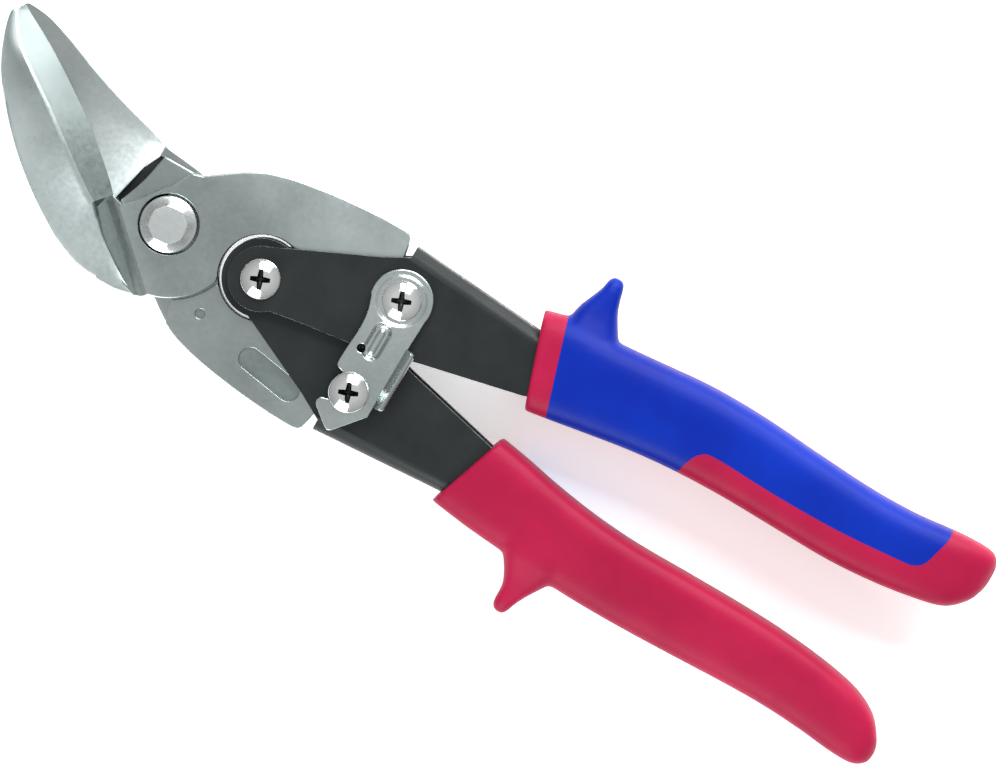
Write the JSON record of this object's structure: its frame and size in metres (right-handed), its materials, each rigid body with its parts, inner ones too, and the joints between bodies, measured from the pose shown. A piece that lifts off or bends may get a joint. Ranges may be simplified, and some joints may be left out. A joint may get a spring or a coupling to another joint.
{
  "type": "aviation snips",
  "caption": "Compound-leverage offset sheet-metal shears: two blades on a main pivot, two channel levers, moulded grips, and a swinging latch that holds the handles closed.",
  "frame": {"origin": "on the main pivot's axis, at the plane on which the tool lies flat, which is the end face of the main pivot bolt", "axes": "+X along the tool from the main pivot towards the grips, +Y towards the upper handle, +Z along the pivots, out of the side with the latch and the screw heads"},
  "size_m": [0.2426, 0.0755, 0.0191],
  "materials": {
    "blade_steel": "satin nickel-plated forging, ground edges",
    "bolt_steel": "zinc plated",
    "lever_steel": "dark grey satin coating",
    "plated_screw": "bright nickel plated",
    "spring_steel": "drawn spring wire",
    "latch_steel": "pressed, zinc plated",
    "red_grip": "moulded, fine texture",
    "blue_grip": "soft moulded, fine texture"
  },
  "bodies": {
    "upper_handle": {"upper_lever": "lever_steel", "upper_grip_body": "red_grip", "upper_grip_cover": "blue_grip", "handle_pivot_screw": "plated_screw", "handle_pivot_sleeve": "bolt_steel", "handle_pivot_nut": "plated_screw", "return_spring": "spring_steel", "upper_link_screw": "plated_screw", "upper_link_nut": "plated_screw", "latch_washer": "plated_screw"},
    "lower_handle": {"lower_lever": "lever_steel", "lower_grip_body": "red_grip", "lower_grip_cover": "blue_grip", "lower_link_screw": "plated_screw", "lower_link_nut": "plated_screw"},
    "lower_blade": {"lower_blade": "blade_steel", "pivot_bolt": "bolt_steel", "pivot_washer": "bolt_steel", "pivot_nut": "bolt_steel"},
    "upper_blade": {"upper_blade": "blade_steel"},
    "latch": {"latch": "latch_steel"}
  },
  "joints": [
    {"name": "handle_hinge", "type": "hinge", "parent": "upper_handle", "child": "lower_handle", "pos_m": [0.023, 0, 0.009], "axis": [0, 0, -1], "range_deg": [0, 30], "deforming": ["return_spring"]},
    {"name": "upper_link_hinge", "type": "hinge", "parent": "upper_handle", "child": "lower_blade", "pos_m": [0.0515, 0.0113, 0.009], "axis": [0, 0, -1], "range_deg": [0, 7.1]},
    {"name": "blade_hinge", "type": "hinge", "parent": "lower_blade", "child": "upper_blade", "pos_m": [0, 0, 0.009], "axis": [0, 0, -1], "range_deg": [0, 16.1]},
    {"name": "latch_hinge", "type": "hinge", "parent": "upper_handle", "child": "latch", "pos_m": [0.0515, 0.0113, 0.009], "axis": [0, 0, 1], "range_deg": [0, 60.5]}
  ],
  "couplings": [
    {"joint": "upper_link_hinge", "follows": "handle_hinge", "ratio": 0.2335},
    {"joint": "blade_hinge", "follows": "handle_hinge", "ratio": 0.533},
    {"joint": "latch_hinge", "follows": "handle_hinge", "ratio": 2}
  ]
}
